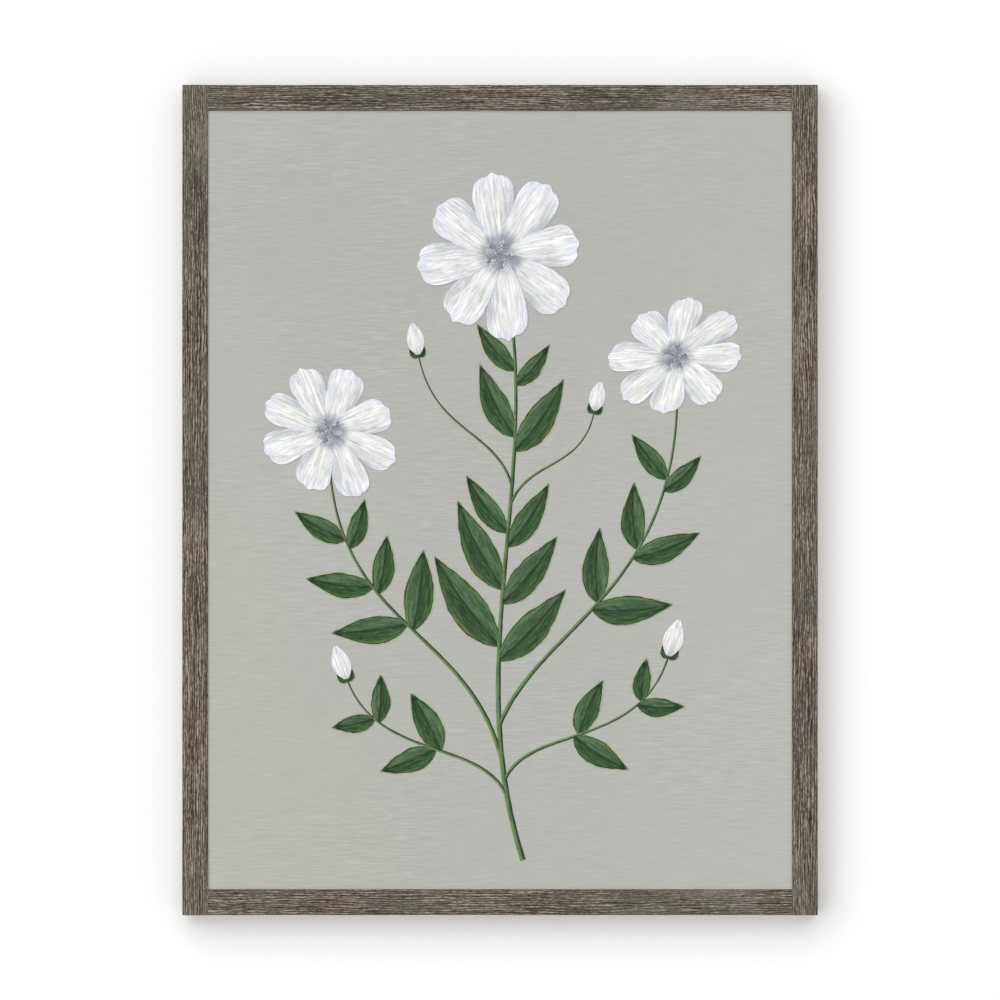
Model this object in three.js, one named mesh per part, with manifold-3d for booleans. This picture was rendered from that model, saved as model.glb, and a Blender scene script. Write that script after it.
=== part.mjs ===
// A framed botanical picture: an unglazed painted board in a butt-jointed, weathered wood frame.
// Millimetres, +Z up, front towards -Y, +X to the right as seen from the front.
// The origin is the hanging point: the middle notch of the hanger, in the plane of the wall (y = 0).
import * as THREE from "three";
import { mergeVertices } from "three/addons/utils/BufferGeometryUtils.js";
import Module from "manifold-3d";

const wasm = await Module();
wasm.setup();

// ---------------------------------------------------------------- driving dimensions
const INCH = 25.4;
const SIGHT_W = 18 * INCH; // width of the visible picture
const SIGHT_H = 24 * INCH; // height of the visible picture
const FACE = 20.4; // width of a frame member, seen from the front
const DEPTH = 25; // depth of a frame member
const LIP = 2; // thickness of the front lip over the rebate
const REBATE = 7; // width of the rebate behind the lip
const ARRIS = 0.5; // eased front edges
const STANDOFF = 3; // gap to the wall, set by the bumpers
const HANG_HEIGHT = 316; // hanging point above the centre of the picture

const PANEL = { thickness: 3, clearance: 1 };
const BACKING = { thickness: 5 };
const DOWEL = { radius: 3, length: 30, inStile: 10, glueGap: 0.2, endGap: 0.5, sides: 12, inset: 6 };
const POINT = { width: 6, inWood: 5, reach: 11, thickness: 0.5, slotGap: 0.1, tip: 2, nose: 1.5 };
const POINTS_UP_STILE = [-240, -80, 80, 240];
const POINTS_ALONG_RAIL = [-150, 0, 150];
const HANGER = { length: 45, flat: 25, foot: 8, height: 10, sheet: 1, lift: 1.75, pitch: 3.2, tooth: 2 };
const NAIL = { x: 18.5, shank: 0.7, head: 2, headThick: 0.8, length: 11, gap: 0.2, sides: 12 };
const BUMPER = { radius: 6, bevel: 0.5, fromEnd: 12, sides: 24 };
const PAST = 1; // how far a cutting solid runs past the face that it cuts

// Planes across the depth, from the wall to the front.
const BACK_Y = -STANDOFF;
const FRONT_Y = BACK_Y - DEPTH;
const LIP_Y = FRONT_Y + LIP; // the painted face, which the lip bears on
const BACKING_Y = LIP_Y + PANEL.thickness;
const POINT_Y = BACKING_Y + BACKING.thickness;

// Half sizes about the centre of the picture.
const SIGHT_X = SIGHT_W / 2;
const SIGHT_Z = SIGHT_H / 2;
const WEB = FACE - REBATE; // the full-depth part of a member
const WEB_X = SIGHT_X + REBATE;
const WEB_Z = SIGHT_Z + REBATE;
const OUTER_X = SIGHT_X + FACE;
const OUTER_Z = SIGHT_Z + FACE;

// ---------------------------------------------------------------- the painted design
// A generic upright bunch: three open flowers, four buds and lance-shaped leaves.
// Points are on the picture, from its centre. Shares run from 0 at a foot to 1 at a tip.
// The first stem has a foot of its own. The others leave it at share `fork`.
const STEMS = [
  { foot: [18, -282], bends: [[-34, -120], [40, 30]], tip: [0, 192], width: 4.4 },
  { fork: 0.16, bends: [[-26, -92], [-138, -104]], tip: [-134, 54], width: 3.4 },
  { fork: 0.22, bends: [[34, -92], [150, -72]], tip: [138, 112], width: 3.4 },
  { fork: 0.1, bends: [[-12, -186], [-96, -206]], tip: [-120, -140], width: 2.8 },
  { fork: 0.13, bends: [[22, -176], [110, -196]], tip: [132, -122], width: 2.8 },
  { fork: 0.62, bends: [[-4, 56], [-52, 52]], tip: [-64, 114], width: 2.2 },
  { fork: 0.59, bends: [[24, 34], [64, 22]], tip: [74, 70], width: 2.2 },
];
// Leaves stand in pairs from share `from` to share `to`. `spread` is their angle to the stem.
const LEAF_RUNS = [
  { stem: 0, pairs: 3, from: 0.34, to: 0.53, length: 84, width: 26, spread: 46 },
  { stem: 0, pairs: 2, from: 0.69, to: 0.8, length: 62, width: 20, spread: 46 },
  { stem: 1, pairs: 3, from: 0.46, to: 0.76, length: 60, width: 21, spread: 52 },
  { stem: 2, pairs: 3, from: 0.44, to: 0.78, length: 60, width: 21, spread: 52 },
  { stem: 3, pairs: 2, from: 0.46, to: 0.78, length: 50, width: 19, spread: 52 },
  { stem: 4, pairs: 2, from: 0.46, to: 0.78, length: 50, width: 19, spread: 52 },
];
// `squash` foreshortens a flower that leans back towards the angle `lean`.
const FLOWERS = [
  { name: "top", stem: 0, radius: 65, turn: 8, squash: 1, lean: 0 },
  { name: "left", stem: 1, radius: 57, turn: 22, squash: 0.86, lean: 60 },
  { name: "right", stem: 2, radius: 54, turn: -6, squash: 0.82, lean: 115 },
];
const BUDS = [
  { stem: 3, length: 27 },
  { stem: 4, length: 29 },
  { stem: 5, length: 25 },
  { stem: 6, length: 23 },
];
const STEM = { taper: 0.55, stepLength: 22, leastSteps: 3 };
const LEAF = { stalk: 0.9, tip: 0.15, fullest: 0.8, shrink: 0.3, bend: 0.16, stagger: 0.012 };
const LEAF_VARY = { size: 0.1, angle: 8, bend: 0.08 }; // by how much leaves differ, either way
const PETAL = { count: 8, width: 0.31, inner: 0.13, neck: 0.3, opening: 0.7, vary: 0.05 };
const PETAL_TIP = { fall: 0.07, tooth: 0.03, shoulder: 0.72, late: 6 };
const EYE = { share: 0.18, height: 1.6, sides: 20 };
const BUD = { halfWidth: 0.27, from: 0.08, over: 0.86, fullest: 0.9 };
const SEPALS = { angle: 38, length: 0.5, width: 0.3, curl: 0.35, sink: 2 };
// Thickness of the paint, and how much it swells.
const PAINT = { leaf: 0.6, leafSwell: 0.3, stem: 0.6, stemSwell: 0.2, petal: 0.6, petalSwell: 0.5 };
const OVERLAP = 0.25; // every other petal lies this much higher
const COLOUR_GAP = 0.3; // left between two colours of paint
const CUT_HEIGHT = 4; // of a cutting solid, above the painted face

// ---------------------------------------------------------------- solids
// A closed geometry as a manifold-3d solid, in place.
function solid(geometry) {
  const bare = geometry.index ? geometry.toNonIndexed() : geometry.clone();
  bare.deleteAttribute("normal");
  bare.deleteAttribute("uv");
  const merged = mergeVertices(bare, 1e-4);
  return new wasm.Manifold(
    new wasm.Mesh({
      numProp: 3,
      vertProperties: new Float32Array(merged.attributes.position.array),
      triVerts: new Uint32Array(merged.index.array),
    }),
  );
}

function geometryOf(made) {
  const { vertProperties, triVerts } = made.getMesh();
  const geometry = new THREE.BufferGeometry();
  geometry.setAttribute("position", new THREE.BufferAttribute(vertProperties, 3));
  geometry.setIndex(new THREE.BufferAttribute(triVerts, 1));
  return geometry;
}

const joined = (solids) => solids.reduce((sum, next) => sum.add(next));
const cutAway = (body, cuts) => cuts.reduce((rest, cut) => rest.subtract(cut), body);

// A box between two opposite corners.
function box([x0, y0, z0], [x1, y1, z1]) {
  const geometry = new THREE.BoxGeometry(x1 - x0, y1 - y0, z1 - z0);
  return geometry.translate((x0 + x1) / 2, (y0 + y1) / 2, (z0 + z1) / 2);
}

function extrude(points, depth) {
  const shape = new THREE.Shape(points.map(([x, y]) => new THREE.Vector2(x, y)));
  return new THREE.ExtrudeGeometry(shape, { depth, bevelEnabled: false, steps: 1 });
}

// A solid of revolution about Y.
const turned = (profile, sides) =>
  new THREE.LatheGeometry(profile.map(([r, y]) => new THREE.Vector2(r, y)), sides);

// A round bar along X between x0 and x1, centred on (y, z).
function barAlongX(radius, x0, x1, y, z, sides) {
  const bar = new THREE.CylinderGeometry(radius, radius, x1 - x0, sides).rotateZ(Math.PI / 2);
  return bar.translate((x0 + x1) / 2, y, z);
}

// A pair of limits on one side of the centre, in rising order.
const onSide = (side, near, far) => (side > 0 ? [near, far] : [-far, -near]);

// ---------------------------------------------------------------- the frame
// The L-shaped section: the first number runs from the outer edge (0) to the sight edge (FACE).
const SECTION = [
  [0, BACK_Y],
  [0, FRONT_Y + ARRIS],
  [ARRIS, FRONT_Y],
  [FACE - ARRIS, FRONT_Y],
  [FACE, FRONT_Y + ARRIS],
  [FACE, LIP_Y],
  [WEB, LIP_Y],
  [WEB, BACK_Y],
];

// Two dowels lie one behind the other in each corner, in the middle of the rail's web.
const DOWEL_YS = [LIP_Y + DOWEL.inset, BACK_Y - DOWEL.inset];
const DOWEL_Z = WEB_Z + WEB / 2;
const CORNERS = [-1, 1].flatMap((sideX) => [-1, 1].map((sideZ) => [sideX, sideZ]));

// A dowel, or with gaps the hole for it.
function dowelBar(sideX, sideZ, y, glueGap, endGap) {
  const out = WEB_X + DOWEL.inStile;
  const [x0, x1] = onSide(sideX, out - DOWEL.length - endGap, out + endGap);
  return barAlongX(DOWEL.radius + glueGap, x0, x1, y, sideZ * DOWEL_Z, DOWEL.sides);
}

const dowelHoles = CORNERS.flatMap(([sideX, sideZ]) =>
  DOWEL_YS.map((y) => solid(dowelBar(sideX, sideZ, y, DOWEL.glueGap, DOWEL.endGap))),
);

// The slot for a point, in the wall of the rebate at `web`, centred on `along`.
function pointSlot(isStile, side, along) {
  const web = isStile ? WEB_X : WEB_Z;
  const [a, b] = onSide(side, web - PAST, web + POINT.inWood + POINT.slotGap);
  const half = POINT.width / 2 + POINT.slotGap;
  const y0 = POINT_Y - POINT.slotGap;
  const y1 = POINT_Y + POINT.thickness + POINT.slotGap;
  return isStile
    ? solid(box([a, y0, along - half], [b, y1, along + half]))
    : solid(box([along - half, y0, a], [along + half, y1, b]));
}

// A stile runs the full height of the frame.
function stileGeometry(side) {
  const section = SECTION.map(([across, y]) => [side * (OUTER_X - across), y]);
  const bar = extrude(section, 2 * OUTER_Z).translate(0, 0, -OUTER_Z);
  const slots = POINTS_UP_STILE.map((z) => pointSlot(true, side, z));
  return geometryOf(cutAway(solid(bar), [...slots, ...dowelHoles]));
}

// A rail fits between the stiles: its lip ends at their lips, and behind the lip it runs on
// across their rebates to the webs.
function railSolid(side) {
  const section = SECTION.map(([across, y]) => [-side * (OUTER_Z - across), y]);
  const bar = extrude(section, 2 * WEB_X).translate(0, 0, -WEB_X).rotateY(Math.PI / 2);
  const lipEnds = [-1, 1].map((end) => {
    const [x0, x1] = onSide(end, SIGHT_X, WEB_X + PAST);
    return solid(box([x0, FRONT_Y - PAST, -OUTER_Z - PAST], [x1, LIP_Y, OUTER_Z + PAST]));
  });
  const slots = POINTS_ALONG_RAIL.map((x) => pointSlot(false, side, x));
  return cutAway(solid(bar), [...lipEnds, ...slots, ...dowelHoles]);
}

// ---------------------------------------------------------------- the hanger and its nails
const NAIL_Z = HANGER.height / 2 - HANGER.tooth; // above the hanging point
const NAIL_XS = [-NAIL.x, NAIL.x];

// A nail's hole, through the hanger's foot and into the rail.
function nailHole(x, z) {
  const radius = NAIL.shank + NAIL.gap;
  const hole = new THREE.CylinderGeometry(radius, radius, 2 * (NAIL.length + PAST), NAIL.sides);
  return solid(hole.translate(x, BACK_Y, z));
}

// The strip is folded like a low hat in plan, and its lower edge is cut into teeth.
function hangerGeometry() {
  const { length, flat, foot, height, sheet, lift, pitch, tooth } = HANGER;
  const rise = length / 2 - foot;
  const inside = [
    [-length / 2, BACK_Y],
    [-rise, BACK_Y],
    [-flat / 2, BACK_Y + lift],
    [flat / 2, BACK_Y + lift],
    [rise, BACK_Y],
    [length / 2, BACK_Y],
  ];
  const outside = inside.map(([x, y]) => [x, y + sheet]).reverse();
  const strip = extrude([...inside, ...outside], height).translate(0, 0, -tooth);
  const eachSide = Math.floor(flat / 2 / pitch - 0.5);
  const notches = [];
  for (let n = -eachSide; n <= eachSide; n += 1) {
    const corners = [
      [n * pitch - pitch / 2, tooth],
      [n * pitch, 0],
      [n * pitch + pitch / 2, tooth],
    ];
    // Extruding runs along Z, so the notch is laid down to run towards the front.
    notches.push(solid(extrude(corners, DEPTH).rotateX(Math.PI / 2)));
  }
  const holes = NAIL_XS.map((x) => nailHole(x, NAIL_Z));
  return geometryOf(cutAway(solid(strip), [...notches, ...holes]));
}

// A small round-headed nail that points along -Y, with the underside of its head at y = 0.
function nailGeometry() {
  const { shank, head, headThick, length, sides } = NAIL;
  const profile = [
    [0, -length],
    [shank, 2 * shank - length],
    [shank, 0],
    [head, 0],
    [head, 0.4 * headThick],
    [0.6 * head, 0.9 * headThick],
    [0, headThick],
  ];
  return turned(profile, sides);
}

// ---------------------------------------------------------------- loose fittings
// A flat steel tab with its sharp end in the wood, drawn in plan: it is driven along +X.
function pointGeometry() {
  const { width, inWood, tip, nose, thickness, reach } = POINT;
  const half = width / 2;
  const plan = [
    [inWood, 0],
    [inWood - tip, half],
    [nose - reach, half],
    [-reach, half - nose],
    [-reach, nose - half],
    [nose - reach, -half],
    [inWood - tip, -half],
  ];
  return extrude(plan, thickness).rotateX(Math.PI / 2).translate(0, thickness, 0);
}

function bumperGeometry() {
  const { radius, bevel, sides } = BUMPER;
  const profile = [
    [0, 0],
    [radius, 0],
    [radius, STANDOFF - bevel],
    [radius - bevel, STANDOFF],
    [0, STANDOFF],
  ];
  return turned(profile, sides);
}

// ---------------------------------------------------------------- paint in low relief
// stroke(s, v) gives [x, z, thickness] for s in 0..1 along it and v in -1..1 across it.
// The solid stands on the painted face, and both its faces have the same triangles.
function relief(stroke, alongSteps, acrossSteps, sink = 0) {
  const top = [];
  const base = [];
  for (let i = 0; i <= alongSteps; i += 1) {
    for (let j = 0; j <= acrossSteps; j += 1) {
      const [x, z, thickness] = stroke(i / alongSteps, (2 * j) / acrossSteps - 1);
      top.push([x, LIP_Y - thickness, z]);
      base.push([x, LIP_Y + sink, z]);
    }
  }
  const under = top.length;
  const at = (i, j) => i * (acrossSteps + 1) + j;
  const faces = [];
  const quad = (a, b, c, d) => faces.push(a, b, c, a, c, d);
  for (let i = 0; i < alongSteps; i += 1) {
    for (let j = 0; j < acrossSteps; j += 1) {
      const [a, b, c, d] = [at(i, j), at(i + 1, j), at(i + 1, j + 1), at(i, j + 1)];
      quad(a, b, c, d);
      quad(under + a, under + d, under + c, under + b);
    }
  }
  // The wall follows the rim once round, in the order of the top face.
  const rim = [];
  for (let i = 0; i < alongSteps; i += 1) rim.push(at(i, 0));
  for (let j = 0; j < acrossSteps; j += 1) rim.push(at(alongSteps, j));
  for (let i = alongSteps; i > 0; i -= 1) rim.push(at(i, acrossSteps));
  for (let j = acrossSteps; j > 0; j -= 1) rim.push(at(0, j));
  rim.forEach((from, n) => {
    const to = rim[(n + 1) % rim.length];
    quad(to, from, under + from, under + to);
  });
  const points = [...top, ...base];
  const geometry = new THREE.BufferGeometry();
  const position = new Float32Array(faces.flatMap((k) => points[k]));
  geometry.setAttribute("position", new THREE.BufferAttribute(position, 3));
  return solid(geometry);
}

// A repeatable draw in -1..1, from steps of the golden ratio.
function wobble(k) {
  const share = k * 0.6180339887;
  return 2 * (share - Math.floor(share)) - 1;
}

const radians = (degrees) => (degrees * Math.PI) / 180;
const pointOn = ([x, z]) => new THREE.Vector2(x, z);

const stemCurves = [];
for (const { foot, fork, bends, tip } of STEMS) {
  const start = foot ? pointOn(foot) : stemCurves[0].getPoint(fork);
  stemCurves.push(new THREE.CubicBezierCurve(start, ...bends.map(pointOn), pointOn(tip)));
}

// A stem: a ribbon of paint along a curve, which narrows to under half at its tip.
function stemRelief({ width }, n) {
  const curve = stemCurves[n];
  const steps = STEM.leastSteps + Math.ceil(curve.getLength() / STEM.stepLength);
  return relief(
    (s, v) => {
      const p = curve.getPoint(s);
      const t = curve.getTangent(s);
      const aside = (width / 2) * (1 - STEM.taper * s) * v;
      return [p.x - t.y * aside, p.y + t.x * aside, PAINT.stem + PAINT.stemSwell * (1 - v * v)];
    },
    steps,
    2,
  );
}

// A lance-shaped leaf: a stalk and a blade that ends in a point.
// `bend` carries the midrib to one side, as the square of the distance along it.
function leafRelief({ at, angle, length, width, bend }) {
  const [dx, dz] = [Math.cos(angle), Math.sin(angle)];
  return relief(
    (s, v) => {
      const blade = (width / 2) * Math.sin(Math.PI * s ** LEAF.fullest);
      const half = LEAF.stalk * (1 - s) + LEAF.tip + blade;
      const along = length * s;
      const aside = length * bend * s * s + v * half;
      const thickness = PAINT.leaf + PAINT.leafSwell * Math.abs(v) * (2 - Math.abs(v));
      return [at[0] + along * dx - aside * dz, at[1] + along * dz + aside * dx, thickness];
    },
    8,
    2,
  );
}

// Every leaf of the design, in pairs that grow shorter up the stem.
function leaves() {
  const all = [];
  LEAF_RUNS.forEach(({ stem, pairs, from, to, length, width, spread }, run) => {
    const curve = stemCurves[stem];
    for (let n = 0; n < pairs; n += 1) {
      const share = n / (pairs - 1);
      const t = from + (to - from) * share;
      for (const side of [-1, 1]) {
        const k = 16 * run + 2 * n + (side + 1) / 2;
        const p = curve.getPoint(t + LEAF.stagger * side);
        const size = (1 - LEAF.shrink * share) * (1 + LEAF_VARY.size * wobble(k));
        const opening = radians(spread + LEAF_VARY.angle * wobble(3 * k + 1));
        all.push({
          at: [p.x, p.y],
          angle: curve.getTangent(t).angle() + side * opening,
          length: length * size,
          width: width * size,
          bend: -side * (LEAF.bend + LEAF_VARY.bend * wobble(5 * k + 2)),
        });
      }
    }
  });
  return all;
}

const flowerCentre = (flower) => stemCurves[flower.stem].getPoint(1);

// A point of a flat flower, as it is seen when the flower leans back.
function leaned(flower, x, z) {
  const a = radians(flower.lean);
  const along = flower.squash * (x * Math.cos(a) + z * Math.sin(a));
  const across = z * Math.cos(a) - x * Math.sin(a);
  const centre = flowerCentre(flower);
  return [
    centre.x + along * Math.cos(a) - across * Math.sin(a),
    centre.y + along * Math.sin(a) + across * Math.cos(a),
  ];
}

// One petal: a wedge with rounded shoulders and three shallow teeth at its tip.
// As a cutter it is wider by `grow` all round, and stands right through the paint.
function petalRelief(flower, k, grow = 0) {
  const angle = radians(flower.turn) + (2 * Math.PI * k) / PETAL.count;
  const [dx, dz] = [Math.cos(angle), Math.sin(angle)];
  const inner = flower.radius * PETAL.inner - grow;
  const reach = flower.radius * (1 + PETAL.vary * wobble(k + flower.radius)) + grow - inner;
  const low = PAINT.petal + OVERLAP * (k % 2);
  return relief(
    (s, v) => {
      const teeth = (PETAL_TIP.tooth * (1 - Math.cos(2 * Math.PI * v))) / 2;
      const r = inner + reach * s * (1 - (PETAL_TIP.fall * v * v + teeth) * s);
      const opened = PETAL.neck + (1 - PETAL.neck) * s ** PETAL.opening;
      const rounded = Math.sqrt(1 - PETAL_TIP.shoulder * s ** PETAL_TIP.late);
      const aside = (flower.radius * PETAL.width * opened * rounded + grow) * v;
      const [x, z] = leaned(flower, r * dx - aside * dz, r * dz + aside * dx);
      const swell = PAINT.petalSwell * Math.sin(Math.PI * s) * (1 - v * v);
      return [x, z, grow ? CUT_HEIGHT : low + swell];
    },
    7,
    4,
    grow ? PAST : 0,
  );
}

const petals = (flower, grow) =>
  Array.from({ length: PETAL.count }, (_, k) => petalRelief(flower, k, grow));

// A round plug through the paint at the middle of a flower.
function eyePlug(flower, grow) {
  const radius = flower.radius * EYE.share + grow;
  const plug = new THREE.CylinderGeometry(radius, radius, 2 * CUT_HEIGHT, EYE.sides);
  const centre = flowerCentre(flower);
  return solid(plug.translate(centre.x, LIP_Y, centre.y));
}

// The ring of petals, with a round hole for the eye.
const flowerGeometry = (flower) =>
  geometryOf(joined(petals(flower)).subtract(eyePlug(flower, COLOUR_GAP)));

// The eye: a low button of paint.
function eyeGeometry(flower) {
  const radius = flower.radius * EYE.share;
  const profile = [
    [0, 0],
    [radius, 0],
    [0.95 * radius, 0.6 * EYE.height],
    [0.6 * radius, EYE.height],
    [0, EYE.height],
  ];
  const centre = flowerCentre(flower);
  return turned(profile, EYE.sides).rotateX(Math.PI).translate(centre.x, LIP_Y, centre.y);
}

// A bud points the way that its stem ends.
function budPlace(bud) {
  const curve = stemCurves[bud.stem];
  return { at: curve.getPoint(1), angle: curve.getTangent(1).angle() };
}

// A closed bud: an egg with a blunt point.
function budRelief(bud, grow = 0) {
  const { at, angle } = budPlace(bud);
  const [dx, dz] = [Math.cos(angle), Math.sin(angle)];
  return relief(
    (s, v) => {
      const along = (bud.length + 2 * grow) * s - grow;
      const egg = Math.sin(Math.PI * (BUD.from + BUD.over * s ** BUD.fullest));
      const aside = (BUD.halfWidth * bud.length * egg + grow) * v;
      const thickness = PAINT.petal + PAINT.petalSwell * (1 - v * v);
      return [
        at.x + along * dx - aside * dz,
        at.y + along * dz + aside * dx,
        grow ? CUT_HEIGHT : thickness,
      ];
    },
    8,
    4,
    grow ? PAST : 0,
  );
}

// The green cup that holds a bud: two curled sepals.
function sepals(bud) {
  const { at, angle } = budPlace(bud);
  const back = [at.x - SEPALS.sink * Math.cos(angle), at.y - SEPALS.sink * Math.sin(angle)];
  return [-1, 1].map((side) =>
    leafRelief({
      at: back,
      angle: angle + side * radians(SEPALS.angle),
      length: bud.length * SEPALS.length,
      width: bud.length * SEPALS.width,
      bend: -side * SEPALS.curl,
    }),
  );
}

// Stems, leaves and sepals as one body of green paint, cut clear of the flowers and buds.
function greeneryGeometry() {
  const green = joined([
    ...STEMS.map(stemRelief),
    ...BUDS.flatMap(sepals),
    ...leaves().map(leafRelief),
  ]);
  const others = [
    ...FLOWERS.flatMap((flower) => petals(flower, COLOUR_GAP)),
    ...FLOWERS.map((flower) => eyePlug(flower, COLOUR_GAP)),
    ...BUDS.map((bud) => budRelief(bud, COLOUR_GAP)),
  ];
  // The largest piece is kept: scraps cut off between two petals are dropped.
  const pieces = green.subtract(joined(others)).decompose();
  pieces.sort((a, b) => b.volume() - a.volume());
  return geometryOf(pieces[0]);
}

// ---------------------------------------------------------------- materials
const finish = (color, roughness, metalness = 0) =>
  new THREE.MeshStandardMaterial({ color, roughness, metalness });

const weatheredWood = finish(0x6c645b, 0.85);
const paintedGround = finish(0xb9b9b3, 0.7);
const leafPaint = finish(0x3a5a38, 0.55);
const whitePaint = finish(0xeceded, 0.55);
const eyePaint = finish(0x8d929c, 0.6);
const kraftBoard = finish(0xa98a63, 0.85);
const beech = finish(0xc8a879, 0.75);
const zincPlate = finish(0xb9bcc0, 0.35, 1);
const brassPlate = finish(0xb59a5b, 0.35, 1);
const blackRubber = finish(0x2a2a2b, 0.8);

// ---------------------------------------------------------------- assembly
// The hanging point is the root's origin, and the picture's centre lies below it.
const root = new THREE.Group();
const picture = new THREE.Group();
picture.position.z = -HANG_HEIGHT;
root.add(picture);

function add(parent, name, geometry, material) {
  const mesh = new THREE.Mesh(geometry, material);
  mesh.name = name;
  parent.add(mesh);
  return mesh;
}

add(picture, "left_stile", stileGeometry(-1), weatheredWood);
add(picture, "right_stile", stileGeometry(1), weatheredWood);
const hangerHoles = NAIL_XS.map((x) => nailHole(x, HANG_HEIGHT + NAIL_Z));
add(picture, "top_rail", geometryOf(cutAway(railSolid(1), hangerHoles)), weatheredWood);
add(picture, "bottom_rail", geometryOf(railSolid(-1)), weatheredWood);
CORNERS.forEach(([sideX, sideZ], corner) => {
  DOWEL_YS.forEach((y, n) => {
    const name = `corner_dowel_${2 * corner + n + 1}`;
    add(picture, name, dowelBar(sideX, sideZ, y, 0, 0), beech);
  });
});

// The board and its backing, held in the rebate by the points.
const boardX = WEB_X - PANEL.clearance;
const boardZ = WEB_Z - PANEL.clearance;
const board = (y0, y1) => box([-boardX, y0, -boardZ], [boardX, y1, boardZ]);
add(picture, "painted_panel", board(LIP_Y, BACKING_Y), paintedGround);
add(picture, "backing_board", board(BACKING_Y, POINT_Y), kraftBoard);
const pointPlaces = [-1, 1].flatMap((side) => [
  ...POINTS_UP_STILE.map((z) => [side * WEB_X, z, side > 0 ? 0 : Math.PI]),
  ...POINTS_ALONG_RAIL.map((x) => [x, side * WEB_Z, (-side * Math.PI) / 2]),
]);
pointPlaces.forEach(([x, z, turn], n) => {
  const point = add(picture, `framers_point_${n + 1}`, pointGeometry(), zincPlate);
  point.position.set(x, POINT_Y, z);
  point.rotation.y = turn;
});

add(root, "sawtooth_hanger", hangerGeometry(), brassPlate);
NAIL_XS.forEach((x, n) => {
  const nail = add(root, `hanger_nail_${n + 1}`, nailGeometry(), brassPlate);
  nail.position.set(x, BACK_Y + HANGER.sheet, NAIL_Z);
});
for (const [name, side] of [["left", -1], ["right", 1]]) {
  const bumper = add(picture, `wall_bumper_${name}`, bumperGeometry(), blackRubber);
  bumper.position.set(side * (OUTER_X - WEB / 2), BACK_Y, BUMPER.fromEnd - OUTER_Z);
}

add(picture, "painted_stems_and_leaves", greeneryGeometry(), leafPaint);
for (const flower of FLOWERS) {
  add(picture, `painted_flower_${flower.name}`, flowerGeometry(flower), whitePaint);
  add(picture, `painted_eye_${flower.name}`, eyeGeometry(flower), eyePaint);
}
BUDS.forEach((bud, n) => {
  add(picture, `painted_bud_${n + 1}`, geometryOf(budRelief(bud)), whitePaint);
});

export default root;
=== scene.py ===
"""A framed botanical picture: a painted board in a butt-jointed frame of weathered wood.

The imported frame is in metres, +Z up, front towards -Y. New shapes are worked out in millimetres
about the centre of the picture, and `place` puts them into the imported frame.
"""

import math

import bpy
import numpy as np
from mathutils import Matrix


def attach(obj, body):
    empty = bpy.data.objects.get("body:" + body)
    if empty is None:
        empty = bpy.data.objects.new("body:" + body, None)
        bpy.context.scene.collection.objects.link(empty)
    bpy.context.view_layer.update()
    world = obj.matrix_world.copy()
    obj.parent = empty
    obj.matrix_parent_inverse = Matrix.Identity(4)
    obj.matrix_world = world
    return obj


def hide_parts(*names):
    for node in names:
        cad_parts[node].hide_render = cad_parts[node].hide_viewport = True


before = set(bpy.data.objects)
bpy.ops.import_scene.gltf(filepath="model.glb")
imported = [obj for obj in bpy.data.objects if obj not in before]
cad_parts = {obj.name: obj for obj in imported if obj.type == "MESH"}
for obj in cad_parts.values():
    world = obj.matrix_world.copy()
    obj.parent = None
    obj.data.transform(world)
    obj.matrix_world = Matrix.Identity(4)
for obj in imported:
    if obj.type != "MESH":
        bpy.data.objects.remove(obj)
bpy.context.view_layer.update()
scene = bpy.context.scene

# ------------------------------------------------ sizes in mm, as in the part's source
SIGHT_X, SIGHT_Z = 228.6, 304.8  # half of the visible picture
FACE = 20.4  # width of a frame member, seen from the front
WEB = 13.4  # the full-depth part of a member
WEB_X = SIGHT_X + FACE - WEB
OUTER_X, OUTER_Z = SIGHT_X + FACE, SIGHT_Z + FACE
BACK_Y, FRONT_Y, LIP_Y = -3.0, -28.0, -26.0  # back, front, and painted face of the board
HANG = 316.0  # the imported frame's origin above the centre of the picture

MM = 0.001  # metres
SINK = 0.03  # mm that the back of the paint lies inside the board
NOISE_CELLS = 512  # random heights along each side of a table of noise
MERGE_DIGITS = 7  # decimals of a metre to which points count as one
SHARP = math.radians(50)  # an edge that turns by more than this stays sharp


def place(x, y, z):
    """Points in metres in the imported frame, from millimetres about the centre of the picture."""
    return np.stack(np.broadcast_arrays(x, y, z - HANG), axis=-1) * MM


def eased(f):
    """3f^2 - 2f^3, which leaves 0 and reaches 1 level."""
    return f * f * (3 - 2 * f)


def smoothstep(low, high, value):
    """0 below `low`, 1 above `high`, and eased between."""
    return eased(np.clip((value - low) / (high - low), 0.0, 1.0))


def bell(distance, width):
    """1 at no distance, falling as e to the minus of its square in widths."""
    return np.exp(-((distance / width) ** 2))


def soft_noise(seed, along, across, cell_along, cell_across):
    """Smooth random hills from -1 to 1: random heights at the corners of cells, eased from
    corner to corner in each direction."""
    table = np.random.default_rng(seed).uniform(-1.0, 1.0, (NOISE_CELLS, NOISE_CELLS))
    a, b = along / cell_along, across / cell_across
    i, j = np.floor(a).astype(int), np.floor(b).astype(int)
    f, g = eased(a - i), eased(b - j)

    def corner(m, n):
        return table[(i + m) % NOISE_CELLS, (j + n) % NOISE_CELLS]

    near = corner(0, 0) * (1 - g) + corner(0, 1) * g
    far = corner(1, 0) * (1 - g) + corner(1, 1) * g
    return near * (1 - f) + far * f


def layered_noise(seed, along, across, *layers):
    """Layers of noise added up. Each has its strength and the size of its cells."""
    return sum(much * soft_noise(seed + n, along, across, *cells)
               for n, (much, *cells) in enumerate(layers))


# ------------------------------------------------ meshes
def halves(quads):
    """Two triangles for each four-cornered face."""
    return np.concatenate([quads[:, [0, 1, 2]], quads[:, [0, 2, 3]]])


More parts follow.
